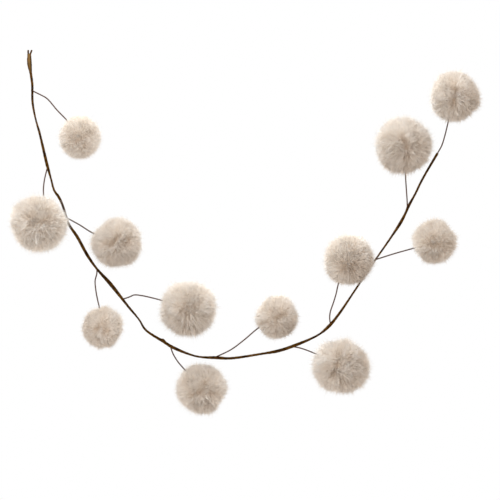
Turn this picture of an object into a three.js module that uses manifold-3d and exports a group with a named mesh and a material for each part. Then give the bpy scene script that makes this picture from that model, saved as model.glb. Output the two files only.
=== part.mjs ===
// Faux fur pom-pom garland: a paper-wrapped wire stem that hangs in a swag, with fur balls on thin wire stalks.
// Millimetres. +X runs along the swag, +Z is up and -Y faces the viewer.
// The origin is the fork between the two wire tips at the left end, where the garland is hung up.
import * as THREE from 'three';
import { mergeVertices } from 'three/addons/utils/BufferGeometryUtils.js';
import Module from 'manifold-3d';

const wasm = await Module();
wasm.setup();

// The wires, how far a stalk goes into its ball, and the gap round a wire in its hole
const STALK_THICK = 1.7;
const TIP_THICK = 2.2;
const TAIL_THICK = 2.2;
const STALK_IN_POM = 24;
const GAP = 0.35;

// How far the stem sways to the front and back, and how many times
const STEM_SWAY = 3;
const STEM_WAVES = 2.5;

// The wrapped stem is flatter than it is wide where wires lie side by side: its depth is this share of its
// width and this much more
const DEPTH_SHARE = 0.5;
const DEPTH_LEAST = 1.6;

// How finely the round pieces are faceted
const STEM_SIDES = 8;
const STEM_STEPS = 68;
const WIRE_SIDES = 6;
const STALK_STEP = 12;
const POM_DETAIL = 4;

// How the fur swells, and how it draws in round its stalk
const TUFT_SPREAD = 11;
const SWELL = 1.1;
const SWELLS_ROUND = 3.1;
const DIMPLE_DEPTH = 3;
const DIMPLE_SPREAD = 13;
const POM_DEPTH = 0.97;

// Where the stem bends: right of the hanging fork, height above it, and the stem's thickness there
const STEM_BENDS = [
  { right: -0.8, up: -2, thick: 7.4 },
  { right: -0.8, up: -17, thick: 7.8 },
  { right: 2.3, up: -39, thick: 4.8 },
  { right: 4.6, up: -57, thick: 4.2 },
  { right: 5.3, up: -92, thick: 3.9 },
  { right: 11.5, up: -125, thick: 2.9 },
  { right: 18.6, up: -150, thick: 3.9 },
  { right: 32.6, up: -209, thick: 5.2 },
  { right: 40.7, up: -238, thick: 3.2 },
  { right: 46.6, up: -259, thick: 3.6 },
  { right: 55.5, up: -272, thick: 4.6 },
  { right: 62.3, up: -286.5, thick: 4 },
  { right: 74.5, up: -323, thick: 4.2 },
  { right: 90.6, up: -347.5, thick: 5.2 },
  { right: 109, up: -381, thick: 5.2 },
  { right: 126, up: -406, thick: 3.9 },
  { right: 153.5, up: -437, thick: 6.4 },
  { right: 188.7, up: -481.6, thick: 3.9 },
  { right: 207.9, up: -505, thick: 2.9 },
  { right: 220, up: -524, thick: 3.7 },
  { right: 255, up: -547, thick: 4.8 },
  { right: 271, up: -557, thick: 5.4 },
  { right: 317, up: -574.5, thick: 3.2 },
  { right: 357, up: -577.2, thick: 5.4 },
  { right: 381, up: -578.2, thick: 4.3 },
  { right: 441.5, up: -569.5, thick: 3.9 },
  { right: 471.4, up: -564.2, thick: 5.4 },
  { right: 500.5, up: -554.8, thick: 5.4 },
  { right: 548.7, up: -533.3, thick: 3.4 },
  { right: 569, up: -516.5, thick: 5.6 },
  { right: 586, up: -496, thick: 4.3 },
  { right: 616, up: -452, thick: 3.2 },
  { right: 649, up: -402, thick: 4.2 },
  { right: 662.2, up: -383.4, thick: 3 },
  { right: 683.9, up: -352.3, thick: 3.4 },
  { right: 704.8, up: -320.5, thick: 5.3 },
  { right: 714.5, up: -302, thick: 4.2 },
  { right: 719.5, up: -290, thick: 4.8 },
  { right: 732.3, up: -266.5, thick: 3.5 },
  { right: 745.6, up: -239.2, thick: 3.7 },
  { right: 775.5, up: -187.5, thick: 4.2 },
];

// A cut wire end that lies along the stem's upper side under the wrapping
const TAIL_BENDS = [
  { right: 248.5, up: -541.8 },
  { right: 253.5, up: -542 },
  { right: 258, up: -546.6 },
  { right: 261.5, up: -551 },
];

// The two wire tips that fork out of the wrapped end, from the wrapping outwards
const TIPS = [
  { name: 'end_tip_left', bends: [[-2.4, -7.5], [-2.4, -1.5], [-2.9, 3], [-2.7, 7.6]] },
  { name: 'end_tip_right', bends: [[0.8, -7.5], [0.85, -1.5], [2.4, 3], [4.1, 7.6]] },
];

// Each fur ball: its centre, how far back it sits, its width and height, its tufts as
// [degrees round the face from +X, how far the fur stands out there], and where its stalk bends from the stem
const POMS = [
  {
    right: 95.8, up: -159.6, back: -6, wide: 80.5, tall: 84.5,
    tufts: [[150, -1.5], [20, 1], [305, -1], [250, 1]],
    stalk: [[6.3, -69.4], [15.8, -75.1], [21.5, -77.9], [32.9, -84.7], [52.6, -107.2], [72.6, -128.1]],
  },
  {
    right: 18.6, up: -324.1, back: -20, wide: 107, tall: 108,
    tufts: [[200, -3.9], [150, 2.3], [35, -4.5], [315, 0.8]],
    stalk: [[32.9, -214.3], [28.3, -239.4], [26.6, -256.5], [26.8, -270.6]],
  },
  {
    right: 165.1, up: -359.7, back: 8, wide: 98, tall: 95.5,
    tufts: [[130, -4.5], [80, 2.8], [180, 1.9], [0, -1.9], [310, 2.4], [275, -1.9]],
    stalk: [[71.1, -310.8], [94.8, -324.7], [118, -339.3]],
  },
  {
    right: 138.7, up: -520, back: -10, wide: 79, tall: 81,
    tufts: [[28, 3.8], [330, -3.6], [110, -3], [258, 2.6], [160, -2.3], [280, -2]],
    stalk: [[126.5, -409.5], [127.5, -418], [124.5, -430.5], [126, -449.2], [129, -465.5], [133.2, -483.7]],
  },
  {
    right: 301.3, up: -485.1, back: -5, wide: 108.5, tall: 106.5,
    tufts: [[95, -2.3], [205, 2.2], [180, -2.3], [120, 2.2], [45, 1.9], [310, -1.5]],
    stalk: [[179.6, -463], [189.8, -461.5], [198.2, -457.9], [212.6, -459], [233.1, -463.4], [250.6, -468]],
  },
  {
    right: 326, up: -637.1, back: 6, wide: 97, tall: 97,
    tufts: [[328, -6], [290, 3.6], [5, 2.5], [80, -2.4], [235, -2.2]],
    stalk: [[266.2, -556.3], [272.8, -570.8], [282.2, -585.8], [293.7, -599.1]],
  },
  {
    right: 469.7, up: -501.2, back: 10, wide: 80.5, tall: 85.5,
    tufts: [[140, -2.5], [185, 2.4], [80, 1.9], [25, -2.2], [295, -1.5]],
    stalk: [[350.7, -576.1], [382.5, -561.8], [407.9, -543], [433.4, -521.7]],
  },
  {
    right: 591.5, up: -594.3, back: -8, wide: 111, tall: 104,
    tufts: [[50, -4.6], [260, -3.4], [80, 3.1], [320, 1.5], [135, 2.6], [105, -2.1]],
    stalk: [[498.8, -556.3], [515.5, -559], [543.6, -569.6]],
  },
  {
    right: 605.3, up: -391.6, back: -29, wide: 95.5, tall: 97.5,
    tufts: [[225, 2.5], [185, -2.2], [275, -1.7], [328, -3], [105, -1.4]],
    stalk: [[570.2, -513], [569.8, -500.8], [571, -489.8], [577.4, -470.3], [581.8, -455.1], [585.8, -437.4]],
  },
  {
    right: 769.3, up: -357.4, back: 5, wide: 84.5, tall: 86.5,
    tufts: [[40, -4.2], [220, -3], [165, 2.5], [0, 1.8], [85, 1.8], [250, 1.6]],
    stalk: [[657, -390.6], [693.7, -379.1], [734.5, -367.7]],
  },
  {
    right: 710.2, up: -175.2, back: -4, wide: 108.5, tall: 109.5,
    tufts: [[232, 4], [300, -3.4], [190, -2], [50, -1.9], [15, 1.2]],
    stalk: [[717.8, -293.9], [717.1, -276.1], [715.4, -253.1], [713.8, -229]],
  },
  {
    right: 806.9, up: -82.3, back: -3, wide: 95, tall: 97.5,
    tufts: [[345, 4], [125, 2.9], [40, -2.2], [312, -2.8], [170, -1.9], [215, 1.6]],
    stalk: [[777.7, -184.5], [782.8, -174.2], [789.1, -153.9], [795.5, -127.3]],
  },
];

const FUR = new THREE.MeshStandardMaterial({ color: 0xcfc0ae, roughness: 0.95, metalness: 0 });
const STEM_PAPER = new THREE.MeshStandardMaterial({ color: 0x5a3c18, roughness: 0.8, metalness: 0 });
const STALK_PAPER = new THREE.MeshStandardMaterial({ color: 0x7d675f, roughness: 0.7, metalness: 0 });

const TOWARDS_BACK = new THREE.Vector3(0, 1, 0);

// A smooth curve through points, as [right, up] pairs with one depth for each
function curveThrough(pairs, backs) {
  const points = pairs.map(([right, up], i) => new THREE.Vector3(right, backs[i], up));
  return new THREE.CatmullRomCurve3(points, false, 'centripetal');
}

// A closed rod along a curve. widthAt and depthAt give its full size at each share of the length
function rodAlong(curve, sides, steps, widthAt, depthAt = widthAt) {
  const rod = new THREE.CylinderGeometry(1, 1, 1, sides, steps);
  const spots = rod.attributes.position;
  const around = new THREE.Vector3();
  const deep = new THREE.Vector3();
  for (let i = 0; i < spots.count; i += 1) {
    const share = Math.round((spots.getY(i) + 0.5) * steps) / steps;
    const ahead = curve.getTangentAt(share);
    around.crossVectors(TOWARDS_BACK, ahead).normalize();
    deep.crossVectors(around, ahead);
    const place = curve.getPointAt(share)
      .addScaledVector(around, (spots.getX(i) * widthAt(share)) / 2)
      .addScaledVector(deep, (spots.getZ(i) * depthAt(share)) / 2);
    spots.setXYZ(i, place.x, place.y, place.z);
  }
  return rod;
}

function solidOf(geometry) {
  const bare = geometry.clone();
  bare.deleteAttribute('normal');
  bare.deleteAttribute('uv');
  const joined = mergeVertices(bare, 1e-4);
  return new wasm.Manifold(new wasm.Mesh({
    numProp: 3,
    vertProperties: new Float32Array(joined.attributes.position.array),
    triVerts: new Uint32Array(joined.index.array),
  }));
}

function geometryOf(solid) {
  const mesh = solid.getMesh();
  const geometry = new THREE.BufferGeometry();
  geometry.setAttribute('position', new THREE.BufferAttribute(new Float32Array(mesh.vertProperties), 3));
  geometry.setIndex(new THREE.BufferAttribute(new Uint32Array(mesh.triVerts), 1));
  geometry.computeVertexNormals();
  return geometry;
}

// The share of a curve's length at which it comes nearest to a point of the face
function shareNearest(curve, right, up) {
  const TRIES = 2000;
  let best = { share: 0, distance: Infinity };
  for (let i = 0; i <= TRIES; i += 1) {
    const spot = curve.getPointAt(i / TRIES);
    const distance = Math.hypot(spot.x - right, spot.z - up);
    if (distance < best.distance) best = { share: i / TRIES, distance };
  }
  return best.share;
}

function ease(share) {
  return share * share * (3 - 2 * share);
}

// The stem's centreline sways a little to the front and back, but not at its hanging end
const stemCurve = curveThrough(
  STEM_BENDS.map(({ right, up }) => [right, up]),
  STEM_BENDS.map((bend, i) => STEM_SWAY * Math.sin((2 * Math.PI * STEM_WAVES * i) / (STEM_BENDS.length - 1))),
);
stemCurve.arcLengthDivisions = 1000;

// The stem's width eases from one row of its table to the next
function stemWidth(share) {
  const row = stemCurve.getUtoTmapping(share) * (STEM_BENDS.length - 1);
  const before = Math.min(Math.floor(row), STEM_BENDS.length - 2);
  return THREE.MathUtils.lerp(STEM_BENDS[before].thick, STEM_BENDS[before + 1].thick, ease(row - before));
}

function stemDepth(share) {
  return DEPTH_SHARE * stemWidth(share) + DEPTH_LEAST;
}

function centreOf(pom) {
  return new THREE.Vector3(pom.right, pom.back, pom.up);
}

// A stalk's wire leaves the stem's middle, swings to the ball's depth as it goes, and ends in the ball
function stalkCurve(pom) {
  const [first, ...bends] = pom.stalk;
  const root = stemCurve.getPointAt(shareNearest(stemCurve, first[0], first[1]));
  const centre = centreOf(pom);
  const entry = new THREE.Vector3(...bends.at(-1));
  const inward = new THREE.Vector2(pom.right - entry.x, pom.up - entry.y).setLength(STALK_IN_POM);
  const pairs = [[root.x, root.z], ...bends, [entry.x + inward.x, entry.y + inward.y]];
  const reach = Math.hypot(pom.right - root.x, pom.up - root.z);
  const backs = pairs.map(([right, up]) => {
    const gone = Math.min(1, Math.hypot(right - root.x, up - root.z) / reach);
    return THREE.MathUtils.lerp(root.y, centre.y, gone);
  });
  return curveThrough(pairs, backs);
}

function wire(curve, thick) {
  const steps = Math.max(3, Math.round(curve.getLength() / STALK_STEP));
  return rodAlong(curve, WIRE_SIDES, steps, () => thick);
}

// The same wire, thicker by the gap and a gap longer at its buried end, for cutting the hole that it sits in
function holeFor(curve, thick, buriedEnd) {
  const steps = Math.max(3, Math.round(curve.getLength() / STALK_STEP));
  const hole = rodAlong(curve, WIRE_SIDES, steps, () => thick + 2 * GAP);
  const end = curve.getPointAt(buriedEnd);
  const further = curve.getTangentAt(buriedEnd).multiplyScalar(buriedEnd === 0 ? -GAP : GAP);
  const spots = hole.attributes.position;
  const spot = new THREE.Vector3();
  for (let i = 0; i < spots.count; i += 1) {
    spot.fromBufferAttribute(spots, i);
    if (spot.distanceTo(end) < thick) {
      spot.add(further);
      spots.setXYZ(i, spot.x, spot.y, spot.z);
    }
  }
  return solidOf(hole);
}

// How far the fur reaches from a ball's centre in a direction
function furReach(pom, towards, stalkWay) {
  const deepRadius = ((pom.wide + pom.tall) / 4) * POM_DEPTH;
  const ball = 1 / Math.hypot(towards.x / (pom.wide / 2), towards.y / deepRadius, towards.z / (pom.tall / 2));
  const hill = (way, spread) => Math.exp(-0.5 * (THREE.MathUtils.radToDeg(towards.angleTo(way)) / spread) ** 2);
  const tufts = pom.tufts.reduce((sum, [degrees, rise]) => {
    const turn = THREE.MathUtils.degToRad(degrees);
    return sum + rise * hill(new THREE.Vector3(Math.cos(turn), 0, Math.sin(turn)), TUFT_SPREAD);
  }, 0);
  const swell = SWELL * Math.sin(SWELLS_ROUND * towards.x + pom.right)
    * Math.cos(SWELLS_ROUND * towards.y + pom.up) * Math.abs(towards.y);
  return ball + tufts + swell - DIMPLE_DEPTH * hill(stalkWay, DIMPLE_SPREAD);
}

function furBall(pom, curve) {
  const ball = new THREE.IcosahedronGeometry(1, POM_DETAIL);
  const spots = ball.attributes.position;
  const centre = centreOf(pom);
  const stalkWay = new THREE.Vector3(pom.stalk.at(-1)[0], pom.back, pom.stalk.at(-1)[1]).sub(centre).normalize();
  const towards = new THREE.Vector3();
  for (let i = 0; i < spots.count; i += 1) {
    towards.fromBufferAttribute(spots, i).normalize();
    const place = centre.clone().addScaledVector(towards, furReach(pom, towards, stalkWay));
    spots.setXYZ(i, place.x, place.y, place.z);
  }
  return geometryOf(solidOf(ball).subtract(holeFor(curve, STALK_THICK, 1)));
}

// The tips fork in the plane of the face
function tipCurve(tip) {
  return curveThrough(tip.bends, tip.bends.map(() => 0));
}

// The stem is one wrapping round all its wires, with a hole for each wire that comes out of it
function wrappedStem(stalkCurves) {
  const tailCurve = curveThrough(
    TAIL_BENDS.map(({ right, up }) => [right, up]),
    TAIL_BENDS.map(({ right, up }) => stemCurve.getPointAt(shareNearest(stemCurve, right, up)).y),
  );
  let stem = solidOf(rodAlong(stemCurve, STEM_SIDES, STEM_STEPS, stemWidth, stemDepth));
  stem = stem.add(solidOf(wire(tailCurve, TAIL_THICK)));
  for (const curve of stalkCurves) stem = stem.subtract(holeFor(curve, STALK_THICK, 0));
  for (const tip of TIPS) stem = stem.subtract(holeFor(tipCurve(tip), TIP_THICK, 0));
  return geometryOf(stem);
}

function piece(name, geometry, material) {
  const mesh = new THREE.Mesh(geometry, material);
  mesh.name = name;
  return mesh;
}

const garland = new THREE.Group();
const stalkCurves = POMS.map(stalkCurve);
garland.add(piece('stem', wrappedStem(stalkCurves), STEM_PAPER));
for (const tip of TIPS) garland.add(piece(tip.name, wire(tipCurve(tip), TIP_THICK), STEM_PAPER));
POMS.forEach((pom, i) => {
  const number = String(i + 1).padStart(2, '0');
  garland.add(piece(`stalk_${number}`, wire(stalkCurves[i], STALK_THICK), STALK_PAPER));
  garland.add(piece(`pom_${number}`, furBall(pom, stalkCurves[i]), FUR));
});

export default garland;
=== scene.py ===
# Faux fur pom-pom garland: a paper-wrapped wire stem that hangs in a swag, with fur balls on thin stalks.
# Tables and shapes are in millimetres and degrees, and each mesh is turned into metres as it is made.
# +X runs along the swag, +Z is up and -Y faces the viewer, from the fork at the stem's left end.
import math

import bpy
import numpy as np
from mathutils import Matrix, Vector, kdtree, noise


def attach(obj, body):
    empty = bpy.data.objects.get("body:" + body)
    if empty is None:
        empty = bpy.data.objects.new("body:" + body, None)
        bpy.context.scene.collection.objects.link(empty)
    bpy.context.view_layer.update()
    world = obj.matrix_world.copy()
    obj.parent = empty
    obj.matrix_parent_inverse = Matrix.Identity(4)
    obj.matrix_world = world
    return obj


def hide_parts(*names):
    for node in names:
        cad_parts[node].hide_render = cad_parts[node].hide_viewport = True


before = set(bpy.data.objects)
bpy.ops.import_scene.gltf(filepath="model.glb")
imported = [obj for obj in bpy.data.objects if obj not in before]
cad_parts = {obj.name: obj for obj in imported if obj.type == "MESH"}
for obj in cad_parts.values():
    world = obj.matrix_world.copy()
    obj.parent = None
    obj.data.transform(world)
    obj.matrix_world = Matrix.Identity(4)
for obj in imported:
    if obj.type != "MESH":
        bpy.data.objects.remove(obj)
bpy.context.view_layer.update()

MM = 0.001
TOWARDS_BACK = np.array([0.0, 1.0, 0.0])
GOLDEN_TURN = math.pi * (3 - math.sqrt(5))
TINY = 1e-6

# Where the stem bends: right of the hanging fork, height above it, and the stem's thickness there
STEM_BENDS = [
    {"right": -0.9, "up": 1, "thick": 6.6},
    {"right": -0.6, "up": -17, "thick": 8.1},
    {"right": 2.3, "up": -39, "thick": 4.4},
    {"right": 4.6, "up": -57, "thick": 4.2},
    {"right": 5.3, "up": -92, "thick": 3.9},
    {"right": 11.5, "up": -125, "thick": 2.9},
    {"right": 18.6, "up": -150, "thick": 3.9},
    {"right": 32.6, "up": -209, "thick": 5.2},
    {"right": 40.7, "up": -238, "thick": 3.2},
    {"right": 46.6, "up": -259, "thick": 3.6},
    {"right": 55.5, "up": -272, "thick": 4.6},
    {"right": 62.3, "up": -286.5, "thick": 4},
    {"right": 74.5, "up": -323, "thick": 4.2},
    {"right": 90.6, "up": -347.5, "thick": 5.2},
    {"right": 109, "up": -381, "thick": 5.2},
    {"right": 126, "up": -406, "thick": 3.9},
    {"right": 153.5, "up": -437, "thick": 6.4},
    {"right": 188.7, "up": -481.6, "thick": 3.9},
    {"right": 207.9, "up": -505, "thick": 2.9},
    {"right": 220, "up": -524, "thick": 3.7},
    {"right": 255, "up": -547, "thick": 4.8},
    {"right": 271, "up": -557, "thick": 5.4},
    {"right": 317, "up": -574.5, "thick": 3.2},
    {"right": 357, "up": -577.2, "thick": 5.4},
    {"right": 381, "up": -578.2, "thick": 4.3},
    {"right": 441.5, "up": -569.5, "thick": 3.9},
    {"right": 471.4, "up": -564.2, "thick": 5.4},
    {"right": 500.5, "up": -554.8, "thick": 5.4},
    {"right": 548.7, "up": -533.3, "thick": 3.4},
    {"right": 569, "up": -516.5, "thick": 5.6},
    {"right": 586, "up": -496, "thick": 4.3},
    {"right": 616, "up": -452, "thick": 3.2},
    {"right": 649, "up": -402, "thick": 4.2},
    {"right": 662.2, "up": -383.4, "thick": 3},
    {"right": 683.9, "up": -352.3, "thick": 3.4},
    {"right": 704.8, "up": -320.5, "thick": 5.3},
    {"right": 714.5, "up": -302, "thick": 4.2},
    {"right": 719.5, "up": -290, "thick": 4.8},
    {"right": 732.3, "up": -266.5, "thick": 3.5},
    {"right": 745.6, "up": -239.2, "thick": 3.7},
    {"right": 775.5, "up": -187.5, "thick": 4.2},
]

# A cut wire end that lies along the stem's upper side under the wrapping
TAIL_BENDS = [
    {"right": 248.5, "up": -541.8},
    {"right": 253.5, "up": -542},
    {"right": 258, "up": -546.6},
    {"right": 261.5, "up": -551},
]

# The two wire tips that fork out of the wrapped end, from the wrapping outwards, as [right, up]
TIPS = [
    {"name": "left", "bends": [[-2.4, -7.5], [-2.4, -1.5], [-2.9, 3], [-2.7, 7.6]]},
    {"name": "right", "bends": [[0.8, -7.5], [0.85, -1.5], [2.4, 3], [4.1, 7.6]]},
]

# The fur balls, in the order in which their stalks leave the stem. The columns:
# right, up and back: where the ball's centre is, from the hanging fork
# wide and tall: how far its fur reaches across, and from its bottom to its top
# pale: how much paler than plain its fur is all over, then painted light towards its right side, then
# painted light towards its top
# gathered: how strongly its fur gathers in locks and clumps, where 1 is plain
# tufts: [degrees round its face from +X, how far the fur stands out there, over how many degrees]
# pressed: [degrees round its face, how far from its centre the fur is pressed flat there]
# partings: [right and up from its centre to a crease's middle, right and up from there to the crease's end,
#            how far the hollow opens, sinks and takes painted shade, how strongly the fur is combed away]
# stalk: where its stalk bends on its way from the stem, as [right, up]
BALLS = [
    {
        "right": 95.8, "up": -159.6, "back": -6, "wide": 80.5, "tall": 84.5,
        "pale": [0.33, 0.2, 0.25], "gathered": 0.6,
        "tufts": [[150, -1.5, 11], [90, 2.4, 14], [20, 1, 11], [305, -1, 11], [250, 1, 11], [264, -1.8, 5]],
        "partings": [[-2, -8, 9, -1.5, 0.02, 0.05]],
        "stalk": [[6.3, -69.4], [15.8, -75.1], [21.5, -77.9], [32.9, -84.7], [52.6, -107.2],
                  [72.6, -128.1]],
    },
    {
        "right": 18.6, "up": -324.1, "back": -20, "wide": 107, "tall": 108,
        "pale": [0.24, 0.2, -0.05], "gathered": 0.85,
        "tufts": [[200, -3.9, 11], [146, 5.6, 13], [170, 1.5, 9], [35, -4.5, 11], [60, 1.2, 11],
                  [12, 2.2, 11], [315, 0.8, 11], [240, -1.2, 11]],
        "partings": [[17, 10, 8, 4, 0.09, 0.1], [-18, 21, 8, 3, 0.03, 0.0]],
        "stalk": [[32.9, -214.3], [28.3, -239.4], [26.6, -256.5], [26.8, -270.6]],
    },
    {
        "right": 165.1, "up": -359.7, "back": 8, "wide": 98, "tall": 95.5,
        "pale": [0.08, -0.09, 0.25], "gathered": 0.95,
        "tufts": [[130, -5.6, 11], [80, 2.8, 11], [180, 1.9, 11], [0, -1.9, 11], [310, 1.6, 11],
                  [275, -3.4, 11], [205, -2.2, 6], [250, 1, 6]],
        "partings": [[-3, 6, 8, 9.5, 0.1, 0.14], [26, 3, 2, 4, 0.09, 0.03]],
        "stalk": [[71.1, -310.8], [94.8, -324.7], [118, -339.3]],
    },
    {
        "right": 138.7, "up": -520, "back": -10, "wide": 79, "tall": 81,
        "pale": [0.1, 0.25, 0.2], "gathered": 0.65,
        "tufts": [[28, 3.8, 11], [330, -3.6, 11], [110, -3, 11], [82, 2.6, 7], [262, 3, 7],
                  [157, -3.4, 11], [281, -4, 6], [297, 1.8, 6]],
        "partings": [[-8.5, 3, 2, 5, 0.12, 0.14], [10, -9, 2, 1, 0.11, 0.06], [-5, -28, 0, 4, 0.05, 0.03]],
        "stalk": [[126.5, -409.5], [127.5, -418], [124.5, -430.5], [126, -449.2], [129, -465.5],
                  [133.2, -483.7]],
    },
    {
        "right": 301.3, "up": -485.1, "back": -5, "wide": 108.5, "tall": 106.5,
        "pale": [0.18, 0.15, 0.5], "gathered": 1.3,
        "tufts": [[95, -2.3, 11], [225, -2, 9], [205, 2.2, 9], [180, -2.3, 11], [120, 2.2, 11],
                  [45, 3, 11], [268, -2.4, 11], [315, -2.6, 11]],
        "partings": [[-7, -8, 6, -4, 0.08, 0.12], [22, 12, 4, 3, 0.06, 0.0]],
        "stalk": [[179.6, -463], [189.8, -461.5], [198.2, -457.9], [212.6, -459], [233.1, -463.4],
                  [250.6, -468]],
    },
    {
        "right": 326, "up": -637.1, "back": 6, "wide": 97, "tall": 97,
        "pale": [0.16, 0.06, 0.26], "gathered": 0.85,
        "tufts": [[334, -7, 9], [318, -2.5, 9], [290, 3.6, 11], [5, 1.5, 11], [80, -2.8, 11],
                  [235, -2.2, 11], [55, -1.2, 11], [150, -1.2, 11]],
        "partings": [[-11, -9, 9, 1, 0.06, 0.1], [28, -10, 6, -1, 0.09, 0.04], [12, 18, 2, 3, 0.06, 0.02]],
        "stalk": [[266.2, -556.3], [272.8, -570.8], [282.2, -585.8], [293.7, -599.1]],
    },
    {
        "right": 469.7, "up": -501.2, "back": 10, "wide": 80.5, "tall": 85.5,
        "pale": [0.12, -0.26, 0.36], "gathered": 0.75,
        "tufts": [[140, -2.5, 11], [185, 2.4, 11], [72, 3.4, 14], [25, -2.2, 11], [295, -1.5, 11],
                  [225, -1.8, 9]],
        "partings": [[7, 4, 10, 5, 0.11, 0.14], [-1, -20, 1.5, 8, 0.06, 0.04], [-25, -9, 6, 1, 0.06, 0.02]],
        "stalk": [[350.7, -576.1], [382.5, -561.8], [407.9, -543], [433.4, -521.7]],
    },
    {
        "right": 591.5, "up": -594.3, "back": -8, "wide": 111, "tall": 104,
        "pale": [0, -0.1, 0.28], "gathered": 1.2,
        "tufts": [[50, -4.6, 11], [258, -5.2, 11], [80, 3.6, 9], [320, 1, 11], [135, 3, 11],
                  [104, -2.6, 8], [12, -1.8, 9]],
        "partings": [[-16, -3, 4, 8, 0.08, 0.2], [10, -30, 10, 3, 0.04, 0.0]],
        "stalk": [[498.8, -556.3], [515.5, -559], [543.6, -569.6]],
    },
    {
        "right": 605.3, "up": -391.6, "back": -29, "wide": 95.5, "tall": 97.5,
        "pale": [0.08, -0.3, 0.6], "gathered": 0.65,
        "tufts": [[225, 2.5, 11], [205, 1, 8], [275, -1.7, 11], [65, 3, 14], [150, 1.4, 11],
                  [262, -1.6, 5]],
        "pressed": [[328, 43.5]],
        "partings": [[-5, -25, 10, -1.5, 0.11, 0.2], [12, -5, 3, 4, 0.06, 0.0]],
        "stalk": [[570.2, -513], [569.8, -500.8], [571, -489.8], [577.4, -470.3], [581.8, -455.1],
                  [585.8, -437.4]],
    },
    {
        "right": 769.3, "up": -357.4, "back": 5, "wide": 84.5, "tall": 86.5,
        "pale": [0.12, -0.22, 0.28], "gathered": 1,
        "tufts": [[40, -4.8, 11], [220, -3.4, 11], [192, -1.6, 8], [165, 2.5, 11], [12, 2.2, 8],
                  [85, 1.8, 11], [246, 2.2, 7], [285, -1.4, 9]],
        "partings": [[-2, -7, 13, 1, 0.07, 0.12]],
        "stalk": [[657, -390.6], [693.7, -379.1], [734.5, -367.7]],
    },
    {
        "right": 710.2, "up": -175.2, "back": -4, "wide": 108.5, "tall": 109.5,
        "pale": [-0.05, -0.14, 0.36], "gathered": 1,
        "tufts": [[232, 3.4, 8], [300, -5, 11], [190, -2, 11], [50, -2.4, 11], [122, 2.6, 11],
                  [350, -1.6, 11]],
        "partings": [[0, 6, 5, -9, 0.1, 0.18], [4, -30, 0, 8, 0.05, 0.03], [39, 0, 0, 4, 0.06, 0.03]],
        "stalk": [[717.8, -293.9], [717.1, -276.1], [715.4, -253.1], [713.8, -229]],
    },
    {
        "right": 806.9, "up": -82.3, "back": -3, "wide": 95, "tall": 97.5,
        "pale": [-0.03, -0.42, 0.2], "gathered": 1.05,
        "tufts": [[345, 3.4, 11], [125, 2.9, 11], [40, -2.2, 11], [75, 2.2, 11], [313, -4.2, 11],
                  [272, -2, 9], [170, -1.9, 11], [215, 1.6, 11]],
        "partings": [[-3, -3, 1, 19, 0.1, 0.16]],
        "stalk": [[777.7, -184.5], [782.8, -174.2], [789.1, -153.9], [795.5, -127.3]],
    },
]

# Finishes


class Value:
    """A node's output. Maths on it adds Math nodes to the same finish."""

    def __init__(self, finish, socket):
        self.finish = finish
        self.socket = socket

    def maths(self, operation, *values):
        return self.finish.node("Math", {"operation": operation}, dict(enumerate(values)))

    def __add__(self, other):
        return self.maths("ADD", self, other)

    def __radd__(self, other):
        return self.maths("ADD", other, self)

    def __sub__(self, other):
        return self.maths("SUBTRACT", self, other)

    def __rsub__(self, other):
        return self.maths("SUBTRACT", other, self)

    def __mul__(self, other):
        return self.maths("MULTIPLY", self, other)

    def __rmul__(self, other):
        return self.maths("MULTIPLY", other, self)

    def __mod__(self, other):
        return self.maths("FLOORED_MODULO", self, other)

    def __rmod__(self, other):
        return self.maths("FLOORED_MODULO", other, self)


class Finish:
    """The nodes of a material or of the surroundings, and the one way of adding to them."""

    def __init__(self, owner):
        self.owner = owner
        owner.use_nodes = True
        self.tree = owner.node_tree
        self.tree.nodes.clear()

    def node(self, kind, settings, sockets, output=0):
        """Adds a node: its settings first, then a value or a link for each named or numbered socket."""
        added = self.tree.nodes.new("ShaderNode" + kind)
        for name, setting in settings.items():
            setattr(added, name, setting)
        for name, value in sockets.items():
            if isinstance(value, Value):
                self.tree.links.new(value.socket, added.inputs[name])
            else:
                added.inputs[name].default_value = value
        return Value(self, added.outputs[output]) if len(added.outputs) else None

    def blend(self, factor, first, second, blend_type="MIX"):
        """A colour between two colours, or their product."""
        settings = {"data_type": "RGBA", "blend_type": blend_type}
        return self.node("Mix", settings, {0: factor, 6: first, 7: second}, 2)

    def place(self):
        """Where a point is on its piece, in metres."""
        return self.node("TexCoord", {}, {}, "Object")

    def measured(self, name):
        """A number that the mesh carries over its surface."""
        return self.node("Attribute", {"attribute_name": name}, {}, "Fac")

    def span(self, value, low, high, bottom=0.0, top=1.0):
        """Eases from bottom to top as value goes from low to high."""
        settings = {"interpolation_type": "SMOOTHSTEP"}
        sockets = {"Value": value, "From Min": low, "From Max": high, "To Min": bottom, "To Max": top}
        return self.node("MapRange", settings, sockets)

    def grain(self, where, scale, detail, roughness):
        """Cloudy noise from 0 to 1, with about as many clouds to a metre as its scale."""
        sockets = {"Vector": where, "Scale": scale, "Detail": detail, "Roughness": roughness}
        return self.node("TexNoise", {}, sockets, "Fac")

    def relief(self, height, strength, distance):
        """A normal that makes a height show as small ridges."""
        return self.node("Bump", {}, {"Strength": strength, "Distance": distance, "Height": height})

    def surface(self, sockets):
        shader = self.node("BsdfPrincipled", {}, sockets)
        self.node("OutputMaterial", {}, {"Surface": shader})


def colour(red, green, blue):
    """A colour given as the 0 to 255 levels that a screen shows."""
    def linear(level):
        share = level / 255
        return share / 12.92 if share <= 0.04045 else ((share + 0.055) / 1.055) ** 2.4
    return (linear(red), linear(green), linear(blue), 1.0)


# The fur's colours: its roots darker with painted shade of the deep fur, its body and its tips, then the
# range of its tone
FUR_SHADED_ROOTS = colour(214, 198, 180)
FUR_BODY = colour(240, 231, 220)
FUR_TIP = colour(206, 204, 201)
SHADED = colour(218, 211, 204)
UNSHADED = colour(255, 255, 255)


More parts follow.
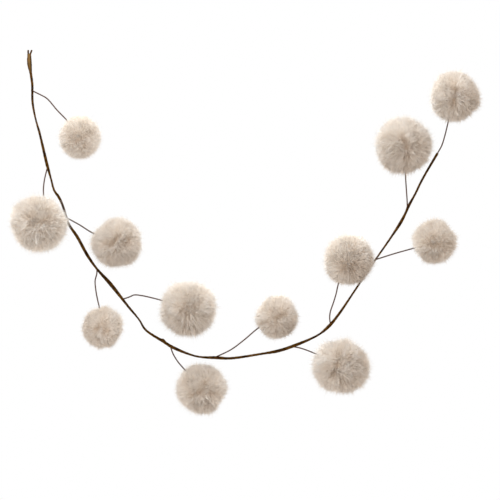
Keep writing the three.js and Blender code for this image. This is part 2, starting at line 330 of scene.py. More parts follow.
def fur_finish():
    """Greige fur, with painted shade towards its roots, darker towards its tips, and shaded by its tone,
    which carries painted light and painted shade besides its own shades.
    """
    finish = Finish(bpy.data.materials.new("greige_fur"))
    along = finish.measured("along")
    # Painted shade deep in the fur, towards the roots
    body = finish.blend(finish.span(along, 0.05, 0.6), FUR_SHADED_ROOTS, FUR_BODY)
    fibre = finish.blend(finish.span(along, 0.55, 0.97), body, FUR_TIP)
    shade = finish.blend(finish.measured("tone"), SHADED, UNSHADED)
    finish.surface({
        "Base Color": finish.blend(1.0, fibre, shade, "MULTIPLY"),
        "Roughness": 0.85,
        "Specular IOR Level": 0.15,
    })
    return finish.owner


# The tape's browns: dark, which also paints the shade at each turn's overlapping edge, brown, tan for its
# rubbed patches and painted highlights on its crease ridges, and pale along its groove
STEM_DARK = colour(32, 15, 0)
STEM_BROWN = colour(56, 31, 0)
STEM_TAN = colour(92, 62, 18)
STEM_PALE = colour(126, 99, 60)
# How much of a turn the painted shade at each overlapping edge takes, how strongly it shows, and how
# strongly the rubbed patches and painted highlights on the crease ridges do
OVERLAP_SHARE = 0.12
OVERLAP_SHADE = 0.5
RUBBING_AND_HIGHLIGHT = 0.55


def stem_finish():
    """Brown paper tape, creased and stretched as it was wound, with painted shade along the edge where one
    turn overlaps the last, and rubbed patches with painted highlights on its crease ridges.
    """
    finish = Finish(bpy.data.materials.new("brown_paper_tape"))
    where = finish.place()
    # Painted shade at the foot of each turn's overlapping edge
    overlap = finish.span(finish.measured("wound") % 1.0, 0.0, OVERLAP_SHARE, bottom=1.0, top=0.0)
    creases = finish.grain(where, scale=900.0, detail=4.0, roughness=0.6)
    patches = finish.grain(where, scale=130.0, detail=2.0, roughness=0.5)
    # Rubbed patches and painted highlights where the crease ridges stand highest
    worn_and_lit = finish.span(creases + patches, 0.8333, 1.25)
    paper = finish.blend(finish.span(patches, 0.35, 0.65), STEM_DARK, STEM_BROWN)
    rubbed_and_highlit = finish.blend(worn_and_lit * RUBBING_AND_HIGHLIGHT, paper, STEM_TAN)
    grooved = finish.blend(finish.measured("groove"), rubbed_and_highlit, STEM_PALE)
    finish.surface({
        "Base Color": finish.blend(overlap * OVERLAP_SHADE, grooved, STEM_DARK),
        "Roughness": finish.span(creases, 0.3, 0.7, bottom=0.62, top=0.82),
        "Specular IOR Level": 0.03,
        "Normal": finish.relief(creases - overlap * OVERLAP_SHADE, strength=0.5, distance=0.3 * MM),
    })
    return finish.owner


STALK_DARK = colour(56, 38, 30)
STALK_MAUVE = colour(84, 60, 50)
# How much of a turn the painted shade in the groove beside the last turn takes, and how strongly it shows
LINE_SHARE = 0.2
LINE_SHADE = 0.5


def stalk_finish():
    """Thin mauve-brown paper round the wire, with painted shade in the fine grooves of its winding."""
    finish = Finish(bpy.data.materials.new("mauve_paper_wire"))
    # Painted shade in the groove between two turns of the paper
    line = finish.span(finish.measured("wound") % 1.0, 0.0, LINE_SHARE, bottom=1.0, top=0.0)
    fibres = finish.grain(finish.place(), scale=1400.0, detail=3.0, roughness=0.6)
    lightness = finish.span(fibres, 0.3, 0.7) - line * LINE_SHADE
    finish.surface({
        "Base Color": finish.blend(lightness, STALK_DARK, STALK_MAUVE),
        "Roughness": finish.span(fibres, 0.3, 0.7, bottom=0.55, top=0.75),
        "Specular IOR Level": 0.1,
        "Normal": finish.relief(fibres - line, strength=0.4, distance=0.1 * MM),
    })
    return finish.owner


# Meshes

# How finely a line is worked out between two of its bends, and how far off its direction is taken
SAMPLES_PER_GAP = 60
LOOK_AHEAD = 0.5
# How far a piece stays away from the edges of the map that its finish is baked on
MAP_MARGIN = 0.02


def mesh_piece(name, points, faces, finish, corner_values=None, bake_map=None, smooth=False):
    """A piece from points in millimetres, with named numbers for each corner of its faces, and the flat map
    that its finish is baked on."""
    mesh = bpy.data.meshes.new(name)
    mesh.from_pydata(points * MM, [], faces)
    mesh.materials.append(finish)
    for value_name, values in (corner_values or {}).items():
        attribute = mesh.attributes.new(value_name, "FLOAT", "CORNER")
        attribute.data.foreach_set("value", np.ascontiguousarray(values, np.float32).ravel())
    if bake_map is not None:
        layer = mesh.uv_layers.new(name="OFBake")
        layer.uv.foreach_set("vector", np.ascontiguousarray(bake_map, np.float32).ravel())
    if smooth:
        mesh.shade_smooth()
    mesh.update()
    piece = bpy.data.objects.new(name, mesh)
    bpy.context.scene.collection.objects.link(piece)
    return piece


def fitted(piece, node):
    """Puts a piece in place of its CAD node."""
    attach(piece, "root")
    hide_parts(node)


def unit(vectors):
    """Each vector at length 1."""
    return vectors / np.linalg.norm(vectors, axis=-1, keepdims=True)


def ease(share):
    """A share from 0 to 1 that sets off and arrives slowly."""
    return share * share * (3 - 2 * share)


def within_map(share, margin):
    """A share from 0 to 1, kept a margin away from the map's edges."""
    return margin + (1 - 2 * margin) * share


class Bend:
    """A smooth line through points, the same one that the CAD solid follows."""

    def __init__(self, points):
        points = np.asarray(points, float)
        before = 2 * points[0] - points[1]
        after = 2 * points[-1] - points[-2]
        every = np.vstack([before, points, after])
        step = np.linspace(0, 1, SAMPLES_PER_GAP, endpoint=False)[:, None]
        runs = [self.between(every[i:i + 4], step) for i in range(len(points) - 1)]
        self.points = np.vstack([*runs, points[-1:]])
        self.rows = np.append(np.arange(len(self.points) - 1) / SAMPLES_PER_GAP, len(points) - 1)
        gaps = np.linalg.norm(np.diff(self.points, axis=0), axis=1)
        self.run = np.append(0, np.cumsum(gaps))
        self.length = self.run[-1]

    def between(self, four, step):
        """The line from the second of four points to the third, as the outer two guide it."""
        gaps = np.sqrt(np.linalg.norm(np.diff(four, axis=0), axis=1))
        first, start, end, last = four
        leave = (start - first) / gaps[0] - (end - first) / (gaps[0] + gaps[1]) + (end - start) / gaps[1]
        arrive = (end - start) / gaps[1] - (last - start) / (gaps[1] + gaps[2]) + (last - end) / gaps[2]
        leave = leave * gaps[1]
        arrive = arrive * gaps[1]
        square = -3 * start + 3 * end - 2 * leave - arrive
        cube = 2 * start - 2 * end + leave + arrive
        return start + leave * step + square * step**2 + cube * step**3

    def at(self, run):
        """Where the line is after a run of so many millimetres."""
        return np.column_stack([np.interp(run, self.run, self.points[:, axis]) for axis in range(3)])

    def ahead(self, run):
        """Which way the line goes there."""
        further = self.at(np.minimum(run + LOOK_AHEAD, self.length))
        return unit(further - self.at(np.maximum(run - LOOK_AHEAD, 0)))

    def row(self, run):
        """Which row of its table a place on the line is at, with the share of the way to the next."""
        return np.interp(run, self.run, self.rows)

    def nearest(self, right, up):
        """How far along the line a point of the face is."""
        return self.run[np.argmin(np.hypot(self.points[:, 0] - right, self.points[:, 2] - up))]


def rod_faces(rings, sides):
    """Two triangles for each side between two rings, with the ring and side of each of their corners. Sides
    are counted on past the seam."""
    ring, side = np.meshgrid(np.arange(rings - 1), np.arange(sides), indexing="ij")
    ring = ring.ravel()
    side = side.ravel()
    corner_rings = np.column_stack([ring, ring, ring + 1, ring, ring + 1, ring + 1])
    corner_sides = np.column_stack([side, side + 1, side + 1, side, side + 1, side])
    faces = corner_rings * sides + corner_sides % sides
    return faces.reshape(-1, 3), corner_rings.reshape(-1, 3), corner_sides.reshape(-1, 3)


def end_fans(rings, sides):
    """The triangles that close the first and last rings, round two points that follow the rings' own."""
    side = np.arange(sides)
    beside = (side + 1) % sides
    last = (rings - 1) * sides
    start = np.column_stack([np.full(sides, rings * sides), beside, side])
    end = np.column_stack([np.full(sides, rings * sides + 1), last + side, last + beside])
    return start, end


def rod(bend, runs, sides, width, depth, relief):
    """A rod's points along a bend, from its width and depth at each ring and how far each stands out."""
    centre = bend.at(runs)
    ahead = bend.ahead(runs)
    around = unit(np.cross(TOWARDS_BACK, ahead))
    deep = np.cross(around, ahead)
    turn = np.arange(sides) / sides * 2 * math.pi
    out_around = (width[:, None] / 2 + relief) * np.cos(turn)
    out_deep = (depth[:, None] / 2 + relief) * np.sin(turn)
    points = centre[:, None] + out_around[..., None] * around[:, None] + out_deep[..., None] * deep[:, None]
    return points.reshape(-1, 3)


def closed_rod(points, rings, sides):
    """A rod's points and faces with its two ends closed, and the ring and side of each corner."""
    faces, corner_rings, corner_sides = rod_faces(rings, sides)
    start, end = end_fans(rings, sides)
    side = np.arange(sides)
    start_sides = np.column_stack([side + 0.5, side + 1, side])
    end_sides = np.column_stack([side + 0.5, side, side + 1])
    every_point = np.vstack([points, points[:sides].mean(0), points[-sides:].mean(0)])
    every_face = np.vstack([faces, start, end])
    every_ring = np.vstack([corner_rings, np.zeros((sides, 3)), np.full((sides, 3), rings - 1)]).astype(int)
    every_side = np.vstack([corner_sides, start_sides, end_sides])
    return every_point, every_face, every_ring, every_side


# The stem

# How full it is beside its table, how it sways to the front and back, how its depth follows from its width,
# and how fine its mesh is
STEM_FULLNESS = 1.08
STEM_SWAY = 3
STEM_WAVES = 2.5
DEPTH_SHARE = 0.5
DEPTH_LEAST = 1.6
STEM_STEP = 1.3
STEM_SIDES = 14
# The tape: how far apart its turns are, how high each stands on the last and how steeply, and its creases
TAPE_PITCH = 8.5
TAPE_STEP = 0.26
TAPE_STEEPNESS = 12
CREASE = 0.22
CREASE_SIZE = 2.6
CREASE_SEED = 5
END_ROUNDING = 1.6
END_BLUNTNESS = 0.8
# The groove between the two wires at the top: how deep and wide it is, and from where to where it fades out
GROOVE_DEPTH = 0.9
GROOVE_WIDE = 0.42
GROOVE_RUN = [14, 42]
# The strips that it is cut in on its map, and how far each stays away from its strip's edges
STRIPS = 12
STRIP_SIDE_MARGIN = 0.05
STRIP_END_MARGIN = 0.04


def stem_line():
    """The stem's middle, which sways a little to the front and back."""
    rows = np.arange(len(STEM_BENDS))
    sway = STEM_SWAY * np.sin(2 * math.pi * STEM_WAVES * rows / (len(STEM_BENDS) - 1))
    return Bend([[bend["right"], back, bend["up"]] for bend, back in zip(STEM_BENDS, sway)])


def tail_line(stem):
    """The cut wire end, as deep as the stem is beside each of its bends."""
    backs = [stem.at([stem.nearest(bend["right"], bend["up"])])[0][1] for bend in TAIL_BENDS]
    return Bend([[bend["right"], back, bend["up"]] for bend, back in zip(TAIL_BENDS, backs)])


def stem_width(line, runs):
    """How wide the stem is along its line."""
    row = line.row(runs)
    before = np.minimum(row.astype(int), len(STEM_BENDS) - 2)
    thick = np.array([bend["thick"] for bend in STEM_BENDS], float) * STEM_FULLNESS
    return thick[before] + (thick[before + 1] - thick[before]) * ease(row - before)


def rough_noise(places, size, seed):
    """Smooth noise from -1 to 1 at each place, with lumps of about that size."""
    return np.array([noise.noise(Vector(place / size) + Vector((seed, 0, 0))) for place in places])


def wire_groove(runs, turn):
    """How deep the groove is at each ring and side, from 0 to 1."""
    two_wires = 1 - np.clip((runs - GROOVE_RUN[0]) / (GROOVE_RUN[1] - GROOVE_RUN[0]), 0, 1)
    middle = np.exp(-((np.cos(turn * 2 * math.pi) / GROOVE_WIDE) ** 2))
    return two_wires[:, None] * middle


def rounded_ends(line, runs, width):
    """How far each ring is drawn in, so that the stem's ends are round."""
    rounded = np.minimum(np.minimum(runs, line.length - runs) / END_ROUNDING, 1)
    return (np.sqrt(1 - (1 - rounded) ** 2) - 1)[:, None] * width[:, None] / 2 * END_BLUNTNESS


def wrapped_stem(line, finish):
    """The wires under their paper tape: its overlapping turns and creases, and the groove at the top."""
    rings = round(line.length / STEM_STEP)
    runs = np.linspace(0, line.length, rings)
    width = stem_width(line, runs)
    depth = DEPTH_SHARE * width + DEPTH_LEAST
    turn = np.arange(STEM_SIDES) / STEM_SIDES
    wound = runs[:, None] / TAPE_PITCH - turn
    lap = wound % 1
    overlap = TAPE_STEP * (1 - lap) * np.minimum(lap * TAPE_STEEPNESS, 1)
    plain = rod(line, runs, STEM_SIDES, width, depth, 0 * wound)
    creased = CREASE * rough_noise(plain, CREASE_SIZE, CREASE_SEED).reshape(wound.shape)
    groove = wire_groove(runs, turn)
    relief = overlap + creased + rounded_ends(line, runs, width) - GROOVE_DEPTH * groove
    points = rod(line, runs, STEM_SIDES, width, depth, relief)
    points, faces, corner_rings, corner_sides = closed_rod(points, rings, STEM_SIDES)
    corner_runs = runs[corner_rings]
    strip = np.minimum(corner_runs.mean(1) / line.length * STRIPS, STRIPS - 1).astype(int)[:, None]
    across = (strip + within_map(corner_sides / STEM_SIDES, STRIP_SIDE_MARGIN)) / STRIPS
    down = within_map(corner_runs / line.length * STRIPS - strip, STRIP_END_MARGIN)
    corner_values = {
        "wound": corner_runs / TAPE_PITCH - corner_sides / STEM_SIDES,
        "groove": np.append(groove.ravel(), [0, 0])[faces],
    }
    bake_map = np.stack([across, down], -1)
    return mesh_piece("wrapped_stem", points, faces, finish, corner_values, bake_map, smooth=True)


# The wires

WIRE_STEP = 1.5
WIRE_SIDES = 10
WIRE_RINGS_LEAST = 6
STALK_THICK = 2.5
TIP_THICK = 3.3
TAIL_THICK = 2.2
STALK_IN_BALL = 24
# A cut end's bevel and what is left of its thickness, as shares of the wire's
BEVEL = 0.12
BEVEL_END = 0.72
# The paper's turns: how far apart they are, and how deep and steep the line between two is
STALK_PITCH = 3.2
WIRE_LINE = 0.06
WIRE_LINE_STEEPNESS = 5


def covered_wire(name, bend, thick, finish):
    """A paper-covered wire with softly rounded cut ends."""
    inner = np.linspace(0, bend.length, max(WIRE_RINGS_LEAST, round(bend.length / WIRE_STEP)))
    bevel = thick * BEVEL
    runs = np.concatenate([[0, bevel], inner[1:-1], [bend.length - bevel, bend.length]])
    size = np.full(len(runs), thick)
    size[[0, -1]] = thick * BEVEL_END
    wound = runs[:, None] / STALK_PITCH - np.arange(WIRE_SIDES) / WIRE_SIDES
    relief = -WIRE_LINE * np.maximum(1 - (wound % 1) * WIRE_LINE_STEEPNESS, 0)
    points = rod(bend, runs, WIRE_SIDES, size, size, relief)
    points, faces, corner_rings, corner_sides = closed_rod(points, len(runs), WIRE_SIDES)
    corner_runs = runs[corner_rings]
    across = within_map(corner_runs / bend.length, MAP_MARGIN)
    down = within_map(corner_sides / WIRE_SIDES, MAP_MARGIN)
    corner_wound = corner_runs / STALK_PITCH - corner_sides / WIRE_SIDES
    corner_values = {"wound": corner_wound, "groove": 0 * corner_wound}
    return mesh_piece(name, points, faces, finish, corner_values, np.stack([across, down], -1), smooth=True)


def centre_of(ball):
    return np.array([ball["right"], ball["back"], ball["up"]], float)


def stalk_line(ball, stem):
    """A stalk's wire, which leaves the stem's middle, swings to the ball's depth and ends in the ball."""
    first, *bends = ball["stalk"]
    root = stem.at([stem.nearest(*first)])[0]
    centre = centre_of(ball)[[0, 2]]
    entry = np.array(bends[-1], float)
    inward = unit(centre - entry) * STALK_IN_BALL
    places = np.array([root[[0, 2]], *bends, entry + inward], float)
    reach = np.linalg.norm(centre - root[[0, 2]])
    gone = np.minimum(np.linalg.norm(places - root[[0, 2]], axis=1) / reach, 1)
    backs = root[1] + (ball["back"] - root[1]) * gone
    return Bend(np.column_stack([places[:, 0], backs, places[:, 1]]))


# The fur

# A ball's form: its gentle swells, its depth beside its height, and how much flatter it is at the bottom
# and fuller at the top
SWELL = 1.1
SWELLS_ROUND = 3.1
BALL_DEPTH = 0.97
FLATTER_BELOW = 1.6
FULLER_ABOVE = 1.6
TOP_SHARPNESS = 4
LEAST_FACING = 0.01

# Two kinds of fibre: dense down, and longer hairs that bend. The columns:
# per_mm2: how many grow on a square millimetre of the ball
# root and reach: how deep the root is and how far the tip reaches, as shares of the fur's reach
# longest: how much further the few longest reach
# width: how wide it is at its root
# strays: how far it strays sideways
# bends: whether it bends on its way
FIBRE_KINDS = [
    {"per_mm2": 1.1, "root": 0.71, "reach": [0.92, 1.03], "longest": 0,
     "width": 0.42, "strays": 0.045, "bends": False},
    {"per_mm2": 0.48, "root": 0.74, "reach": [0.96, 1.06], "longest": 0.18,
     "width": 0.36, "strays": 0.045, "bends": True},
]
LONG_HAIR_RARITY = 6
FIBRE_SCATTER = 0.6
WIDTH_RANGE = [0.7, 1.3]
TWIST = 0.6
# Where a fibre bends, how far it has leant by then, and by how much that strays
BEND_AT = 0.52
BEND_LEAN = 0.38
BEND_STRAY = 0.01
# How far along a fibre the finish counts its root, its bend and its tip
ALONG_ROOT = 0.03
ALONG_BEND = 0.5
ALONG_TIP = 0.97

# The fur gathers in locks and in small clumps. For each: its size, how strongly its fibres draw together,
# how far it leans by chance, how much its length and tone vary, and how many stand out as wisps
GATHERINGS = [
    {"size": 8, "draw": [0.0, 0.05], "lean": 0.03, "length": 0.015, "tone": 0.1, "wisps": 0},
    {"size": 2.2, "draw": [0.15, 0.65], "lean": 0.055, "length": 0.02, "tone": 0.3, "wisps": 0.1},
]
GATHERING_SCATTER = 0.35

# How much longer a wisp is than the fur round it, how strongly its fibres draw together, and what is left of
# both where the fur hardly gathers
WISP_LENGTH = [0.03, 0.12]
WISP_DRAW = 0.75
WISP_LEAST = 0.4

# The side where the fur is fluffed up and hardly gathers, how much less it does there, and how soon it does
FLUFFED_SIDE = [-0.62, -0.1, 0.78]
FLUFFED_SHARE = 0.85
FLUFFED_CHANGE = 0.6

# How the fur droops, and the slow waves in which it drifts
DROOP = [0.0, 0.0, -0.015]
DRIFT = 0.05
DRIFT_WAVES = 8
DRIFT_PITCH = 6

# How pale plain fur is, how much its fibres differ, and how high up the ball its painted light goes on
# growing paler
FUR_TONE = 0.58
FIBRE_TONE = 0.14
EVEN_ABOVE = 0.6

# How the fur parts: the degrees from a crease between which it opens and is combed away, how far it sinks
# there and how strongly painted shade darkens it, and the partings round the back, as directions
HOLLOW_START = 3
HOLLOW_END = 13
COMBING = 0.65
COMB_START = 20
COMB_END = 52
HOLLOW_SINK = 0.9
HOLLOW_SHADE = 1.85
BACK_PARTINGS = [[0.9, 0.5, 0.1], [-0.8, 0.5, 0.3], [0.1, 0.8, -0.6], [0, 0.3, 0.95]]
BACK_STRAY = 0.2
BACK_HOLLOW = 0.06
BACK_COMB = 0.12

# The underfur: its share of the fur's reach, its lumps, how far along the fibres' colours it sits, further
# towards its right, and how it sinks in the hollows and takes painted shade there
CORE = 0.78
CORE_LUMPS = 0.02
CORE_LUMP_SIZE = 0.12
CORE_SEEDS_APART = 7
CORE_RINGS = 24
CORE_SINK = 0.5
CORE_ALONG = 0.35
CORE_ALONG_RIGHT = 0.1
CORE_HOLLOW_SHADE = 3

# How wide a fibre is on the map that the fur's finish is baked on
MAP_WIDTH = 0.004


def scattered(count, random, scatter):
    """Directions spread evenly over a ball, each moved at random by a share of the gap to the next."""
    index = np.arange(count)
    height = 1 - (2 * index + 1) / count
    flat = np.sqrt(1 - height**2)
    turn = index * GOLDEN_TURN
    even = np.column_stack([flat * np.cos(turn), flat * np.sin(turn), height])
    return unit(even + random.normal(size=even.shape) * scatter * math.sqrt(4 * math.pi / count))


def nearest_of(places, targets):
    """For each place, which of the targets is nearest."""
    tree = kdtree.KDTree(len(targets))
    for index, target in enumerate(targets):
        tree.insert(target, index)
    tree.balance()
    return np.array([tree.find(place)[1] for place in places])


def radius_of(ball):
    return (ball["wide"] + ball["tall"]) / 4


def area_of(ball):
    return 4 * math.pi * radius_of(ball) ** 2


def on_face(degrees):
    """The direction that is so many degrees round a ball's face from +X."""
    turn = math.radians(degrees)
    return [math.cos(turn), 0, math.sin(turn)]


def degrees_of(cosine):
    return np.degrees(np.arccos(np.clip(cosine, -1, 1)))


def fur_reach(ball, towards):
    """How far the fur reaches from a ball's centre in each direction."""
    halves = np.array([ball["wide"] / 2, radius_of(ball) * BALL_DEPTH, ball["tall"] / 2])
    reach = 1 / np.linalg.norm(towards / halves, axis=1)
    for degrees, rise, spread in ball["tufts"]:
        reach = reach + rise * np.exp(-0.5 * (degrees_of(towards @ on_face(degrees)) / spread) ** 2)
    right, back, up = towards.T
    swell = np.sin(SWELLS_ROUND * right + ball["right"]) * np.cos(SWELLS_ROUND * back + ball["up"])
    reach = reach + SWELL * swell * np.abs(back) - FLATTER_BELOW * np.maximum(-up, 0)
    reach = reach + FULLER_ABOVE * np.maximum(up, 0) ** TOP_SHARPNESS
    for degrees, stop in ball.get("pressed", []):
        facing = np.maximum(towards @ on_face(degrees), LEAST_FACING)
        reach = np.minimum(reach, stop / facing)
    return reach


def fur_tone_and_painted_light(ball, towards):
    """How pale a ball's fur is in each direction, all over and with painted light towards its right side and
    its top, where 0 is its darkest and 1 its palest.
    """
    all_over, painted_light_right, painted_light_top = ball["pale"]
    right, _, up = towards.T
    return FUR_TONE + all_over + painted_light_right * right + painted_light_top * np.minimum(up, EVEN_ABOVE)


def fur_partings(ball, random):
    """Each of the ball's partings, from one direction to another, with a few more round its back."""
    radius = radius_of(ball)

    def on_front(right, up):
        return np.array([right, -math.sqrt(radius**2 - right**2 - up**2), up]) / radius

    partings = []
    for right, up, half_right, half_up, hollow, comb in ball["partings"]:
        start = on_front(right - half_right, up - half_up)
        end = on_front(right + half_right, up + half_up)
        partings.append((start, end, hollow, comb))
    for towards in BACK_PARTINGS:
        start, end = (unit(np.array(towards) + random.normal(size=3) * BACK_STRAY) for _ in range(2))
        partings.append((start, end, BACK_HOLLOW, BACK_COMB))
    return partings


def fur_drifts(random):
    """Slow waves of lean that run over a ball."""
    return [
        (random.normal(size=3) * DRIFT_PITCH, random.normal(size=3) * DRIFT, random.uniform(0, 2 * math.pi))
        for _ in range(DRIFT_WAVES)
    ]


def fading(angle, degrees):
    """How strongly a crease is felt at an angle from it, where it fades over so many degrees."""
    return np.exp(-((angle / degrees) ** 2))


def fur_lie(towards, partings, drifts):
    """How the fur at each direction leans, away from the partings, and how much shorter it stands there."""
    lean = np.tile(DROOP, (len(towards), 1))
    sink = np.zeros(len(towards))
    for wave, push, phase in drifts:
        lean += push / math.sqrt(DRIFT_WAVES) * np.sin(towards @ wave + phase)[:, None]
    for start, end, hollow, comb in partings:
        crease = end - start
        share = np.clip((towards - start) @ crease / max(crease @ crease, TINY), 0, 1)
        nearest = unit(start + crease * share[:, None])
        cosine = (towards * nearest).sum(1)
        angle = degrees_of(cosine)
        away = towards * cosine[:, None] - nearest
        away /= np.maximum(np.linalg.norm(away, axis=1), TINY)[:, None]
        opened = hollow * (1 - fading(angle, HOLLOW_START)) * fading(angle, HOLLOW_END)
        combed = comb * COMBING * (1 - fading(angle, COMB_START)) * fading(angle, COMB_END)
        lean += away * (opened + combed)[:, None]
        sink += hollow * HOLLOW_SINK * fading(angle, HOLLOW_END / 2)
    return lean - towards * (lean * towards).sum(1)[:, None], sink


def fur_gatherings(ball, partings, drifts, random):
    """The ball's locks and clumps: where each is rooted and ends, and how its fur differs from the rest."""
    made = []
    for gathering in GATHERINGS:
        count = round(area_of(ball) / gathering["size"] ** 2)
        roots = scattered(count, random, GATHERING_SCATTER)
        own_lean = random.normal(size=roots.shape) * gathering["lean"]
        lean, _ = fur_lie(roots, partings, drifts)
        fluffed = FLUFFED_SHARE * ease(np.clip(0.5 + FLUFFED_CHANGE * roots @ FLUFFED_SIDE, 0, 1))
        gathered = ball["gathered"] * (1 - fluffed)
        own_lean = own_lean * gathered[:, None]
        wispy = random.uniform(size=count) < gathering["wisps"]
        wisp_share = WISP_LEAST + (1 - WISP_LEAST) * gathered
        draw = random.uniform(*gathering["draw"], count) * gathered
        length = random.normal(size=count) * gathering["length"] * gathered
        made.append({
            "roots": roots,
            "lean": own_lean,
            "tips": unit(roots + lean + own_lean),
            "draw": np.where(wispy, WISP_DRAW * wisp_share, draw),
            "length": length + wispy * random.uniform(*WISP_LENGTH, count) * wisp_share,
            "tone": random.uniform(-0.5, 0.5, count) * gathering["tone"] * gathered,
        })
    return made


def fur_fibres(ball, kind, partings, drifts, gatherings, random):
    """One kind of a ball's fibres: their roots, middles and tips, and each one's width, twist and tone, with
    the tone's painted light and painted shade.
    """
    count = round(area_of(ball) * kind["per_mm2"])
    roots = scattered(count, random, FIBRE_SCATTER)
    lean, sink = fur_lie(roots, partings, drifts)
    length = random.uniform(*kind["reach"], count)
    length = length + kind["longest"] * random.uniform(size=count) ** LONG_HAIR_RARITY - sink
    # Painted light towards the top and one side, each fibre's own random tone, and painted shade in the
    # hollows
    tone = fur_tone_and_painted_light(ball, roots) + random.uniform(-0.5, 0.5, count) * FIBRE_TONE - sink * HOLLOW_SHADE
    members = [nearest_of(roots, gathering["roots"]) for gathering in gatherings]
    for gathering, member in zip(gatherings, members):
        lean = lean + gathering["lean"][member]
        length = length + gathering["length"][member]
        tone = tone + gathering["tone"][member]
    tips = unit(roots + lean + random.normal(size=roots.shape) * kind["strays"])
    for gathering, member in zip(gatherings, members):
        draw = gathering["draw"][member][:, None]
        tips = unit(tips * (1 - draw) + gathering["tips"][member] * draw)
    root_reach = fur_reach(ball, roots) * kind["root"]
    tip_reach = fur_reach(ball, tips) * length
    leant = roots * (1 - BEND_LEAN) + tips * BEND_LEAN
    middles = unit(leant + random.normal(size=roots.shape) * BEND_STRAY)
    middle_reach = root_reach + (tip_reach - root_reach) * BEND_AT
    centre = centre_of(ball)
    return {
        "root": centre + roots * root_reach[:, None],
        "middle": centre + middles * middle_reach[:, None],
        "tip": centre + tips * tip_reach[:, None],
        "out": middles,
        "width": kind["width"] * random.uniform(*WIDTH_RANGE, count),
        "twist": random.normal(size=count) * TWIST,
        "tone": np.clip(tone, 0, 1),
    }


def fibre_blades(fibres, bends):
    """Each fibre as a flat blade that tapers to its tip, of one triangle, or three where it bends."""
    ahead = unit(fibres["tip"] - fibres["middle"])
    across = unit(np.cross(ahead, fibres["out"]) + TINY)
    other = np.cross(ahead, across)
    twist = fibres["twist"][:, None]
    side = (across * np.cos(twist) + other * np.sin(twist)) * fibres["width"][:, None] / 2
    low = [fibres["root"] - side, fibres["root"] + side]
    if bends:
        places = [*low, fibres["middle"] - side, fibres["middle"] + side, fibres["tip"]]
        corners = np.array([[0, 1, 3], [0, 3, 2], [2, 3, 4]])
        along = np.array([ALONG_ROOT, ALONG_ROOT, ALONG_BEND, ALONG_BEND, ALONG_TIP])
        spread = np.array([-1, 1, -1, 1, 0]) * MAP_WIDTH
    else:
        places = [*low, fibres["tip"]]
        corners = np.array([[0, 1, 2]])
        along = np.array([ALONG_ROOT, ALONG_ROOT, ALONG_TIP])
        spread = np.array([-1, 1, 0]) * MAP_WIDTH
    count = len(fibres["tone"])
    corner_along = np.tile(along[corners].ravel(), count).reshape(-1, 3)
    corner_tone = np.repeat(fibres["tone"], corners.size).reshape(-1, 3)
    corner_spread = np.tile(spread[corners].ravel(), count).reshape(-1, 3)
    return {
        "points": np.stack(places, axis=1).reshape(-1, 3),
        "faces": (np.arange(count)[:, None, None] * len(places) + corners).reshape(-1, 3),
        "along": corner_along,
        "tone": corner_tone,
        "map": np.stack([corner_along, within_map(corner_tone, MAP_MARGIN) + corner_spread], -1),
    }


def underfur(ball, partings, drifts, number):
    """The dense underfur: a closed lumpy ball inside the fibres."""
    rings = CORE_RINGS - 1
    sides = 2 * CORE_RINGS
    lift = (np.arange(1, CORE_RINGS) / CORE_RINGS - 0.5) * math.pi
    turn = np.arange(sides) / sides * 2 * math.pi
    flat = np.cos(lift)[:, None]
    towards = np.stack([flat * np.cos(turn), flat * np.sin(turn), np.sin(lift)[:, None] + 0 * turn], -1)
    towards = np.vstack([towards.reshape(-1, 3), [[0, 0, -1], [0, 0, 1]]])
    _, sink = fur_lie(towards, partings, drifts)
    lumps = CORE_LUMPS * rough_noise(towards, CORE_LUMP_SIZE, number * CORE_SEEDS_APART)
    reach = fur_reach(ball, towards) * (CORE + lumps - sink * CORE_SINK)
    faces = np.vstack([rod_faces(rings, sides)[0], *end_fans(rings, sides)])
    # Painted shade in the hollows, towards the darker root colour
    along = CORE_ALONG + CORE_ALONG_RIGHT * towards[:, 0] - sink * CORE_HOLLOW_SHADE
    along = np.maximum(along, ALONG_ROOT)[faces]
    # Painted light towards the top and one side, and painted shade in the hollows
    tone = np.clip(fur_tone_and_painted_light(ball, towards) - sink * HOLLOW_SHADE, 0, 1)[faces]
    return {
        "points": centre_of(ball) + towards * reach[:, None],
        "faces": faces,
        "along": along,
        "tone": tone,
        "map": np.stack([along, within_map(tone, MAP_MARGIN)], -1),
    }


def fur_ball(number, ball, finish):
    """A ball's underfur and fibres as one piece."""
    random = np.random.default_rng(number)
    partings = fur_partings(ball, random)
    drifts = fur_drifts(random)
    gatherings = fur_gatherings(ball, partings, drifts, random)
    parts = [underfur(ball, partings, drifts, number)]
    for kind in FIBRE_KINDS:
        fibres = fur_fibres(ball, kind, partings, drifts, gatherings, random)
        parts.append(fibre_blades(fibres, kind["bends"]))
    starts = np.cumsum([0] + [len(part["points"]) for part in parts[:-1]])
    piece = mesh_piece(
        f"fur_ball_{number:02d}",
        np.vstack([part["points"] for part in parts]),
        np.vstack([part["faces"] + start for part, start in zip(parts, starts)]),
        finish,
        {name: np.vstack([part[name] for part in parts]) for name in ("along", "tone")},
        np.concatenate([part["map"] for part in parts]),
    )
    fitted(piece, f"pom_{number:02d}")


# The room: floor, light and camera

# What the camera sees face on: the middle and the width of its picture, where the garland hangs
IMAGE_CENTRE = [418.6, -372.4]
IMAGE_WIDTH = 950
LENS = 200
SENSOR = 36
CAMERA_REACH = 40000
FLOOR_HEIGHT = -2200
FLOOR_RADIUS = 1800
FLOOR_SIDES = 64
# How far from its middle the floor starts to fade into the surroundings and where it ends
FADE_START = 600
FADE_END = 1710


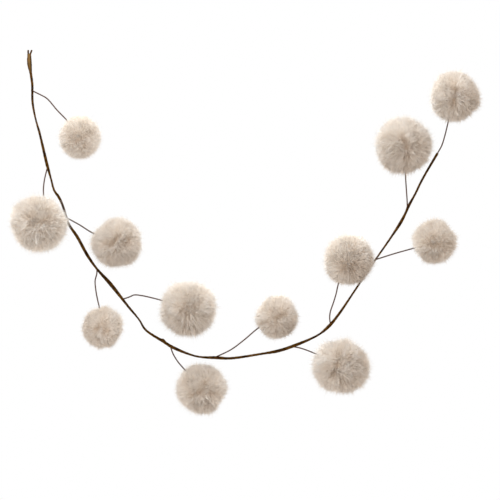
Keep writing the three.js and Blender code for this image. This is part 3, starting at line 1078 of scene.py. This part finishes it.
def make_floor():
    """A pale round floor well below the garland, which fades out before its edge."""
    finish = Finish(bpy.data.materials.new("pale_floor"))
    from_middle = finish.node("VectorMath", {"operation": "LENGTH"}, {0: finish.place()}, "Value")
    finish.surface({
        "Base Color": colour(164, 160, 154),
        "Roughness": 0.9,
        "Specular IOR Level": 0.1,
        "Alpha": finish.span(from_middle, FADE_START * MM, FADE_END * MM, bottom=1.0, top=0.0),
    })
    side = np.arange(FLOOR_SIDES)
    turn = side / FLOOR_SIDES * 2 * math.pi
    rim = np.column_stack([np.cos(turn), np.sin(turn), 0 * turn]) * FLOOR_RADIUS
    points = np.vstack([rim, [[0, 0, 0]]])
    faces = np.column_stack([side, (side + 1) % FLOOR_SIDES, np.full(FLOOR_SIDES, FLOOR_SIDES)])
    floor = mesh_piece("floor", points, faces, finish.owner)
    floor.location = Vector((IMAGE_CENTRE[0], 0, FLOOR_HEIGHT)) * MM


# The soft boxes round the garland: where each hangs, its size and its power in watts
SOFT_BOXES = [
    {"name": "soft_box_above", "at": [-500, 0, 1900], "size": 2000, "power": 102},
    {"name": "soft_box_left", "at": [-2200, -300, 300], "size": 1400, "power": 42},
    {"name": "soft_box_right", "at": [3200, -500, 3000], "size": 2300, "power": 76},
]
BOX_COLOUR = (0.9, 1.03, 1.16)
ROOM_LIGHT = 1.47
ROOM_COLOUR = (1.0, 0.955, 0.92, 1)


def soft_boxes():
    garland = Vector((IMAGE_CENTRE[0], 0, IMAGE_CENTRE[1])) * MM
    for box in SOFT_BOXES:
        lamp = bpy.data.lights.new(box["name"], "AREA")
        lamp.shape = "SQUARE"
        lamp.size = box["size"] * MM
        lamp.energy = box["power"]
        lamp.color = BOX_COLOUR
        held = bpy.data.objects.new(box["name"], lamp)
        held.location = Vector(box["at"]) * MM
        held.rotation_euler = (garland - held.location).to_track_quat("-Z", "Y").to_euler()
        bpy.context.scene.collection.objects.link(held)


def surround_light():
    """A bright even room, and plain white behind the garland."""
    world = bpy.data.worlds.new("studio")
    bpy.context.scene.world = world
    finish = Finish(world)
    light = finish.node("Background", {}, {"Color": ROOM_COLOUR, "Strength": ROOM_LIGHT})
    white = finish.node("Background", {}, {"Color": (1, 1, 1, 1), "Strength": 1.0})
    seen = finish.node("LightPath", {}, {}, "Is Camera Ray")
    finish.node("OutputWorld", {}, {"Surface": finish.node("MixShader", {}, {0: seen, 1: light, 2: white})})


def place_camera():
    """A long lens straight in front of the garland."""
    camera = bpy.data.cameras.new("camera")
    camera.lens = LENS
    camera.sensor_width = SENSOR
    camera.clip_end = CAMERA_REACH * MM
    held = bpy.data.objects.new("camera", camera)
    distance = IMAGE_WIDTH / SENSOR * LENS
    held.location = Vector((IMAGE_CENTRE[0], -distance, IMAGE_CENTRE[1])) * MM
    held.rotation_euler = (math.radians(90), 0, 0)
    bpy.context.scene.collection.objects.link(held)
    bpy.context.scene.camera = held
    bpy.context.scene.view_settings.view_transform = "Standard"


def main():
    place_camera()
    surround_light()
    soft_boxes()
    make_floor()
    fur = fur_finish()
    tape = stem_finish()
    paper = stalk_finish()
    stem = stem_line()
    fitted(wrapped_stem(stem, tape), "stem")
    tail = covered_wire("wire_tail", tail_line(stem), TAIL_THICK, tape)
    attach(tail, "root")
    for tip in TIPS:
        bend = Bend([[right, 0, up] for right, up in tip["bends"]])
        wire = covered_wire(f"wire_tip_{tip['name']}", bend, TIP_THICK, tape)
        fitted(wire, f"end_tip_{tip['name']}")
    for number, ball in enumerate(BALLS, 1):
        wire = covered_wire(f"wire_stalk_{number:02d}", stalk_line(ball, stem), STALK_THICK, paper)
        fitted(wire, f"stalk_{number:02d}")
        fur_ball(number, ball, fur)


main()
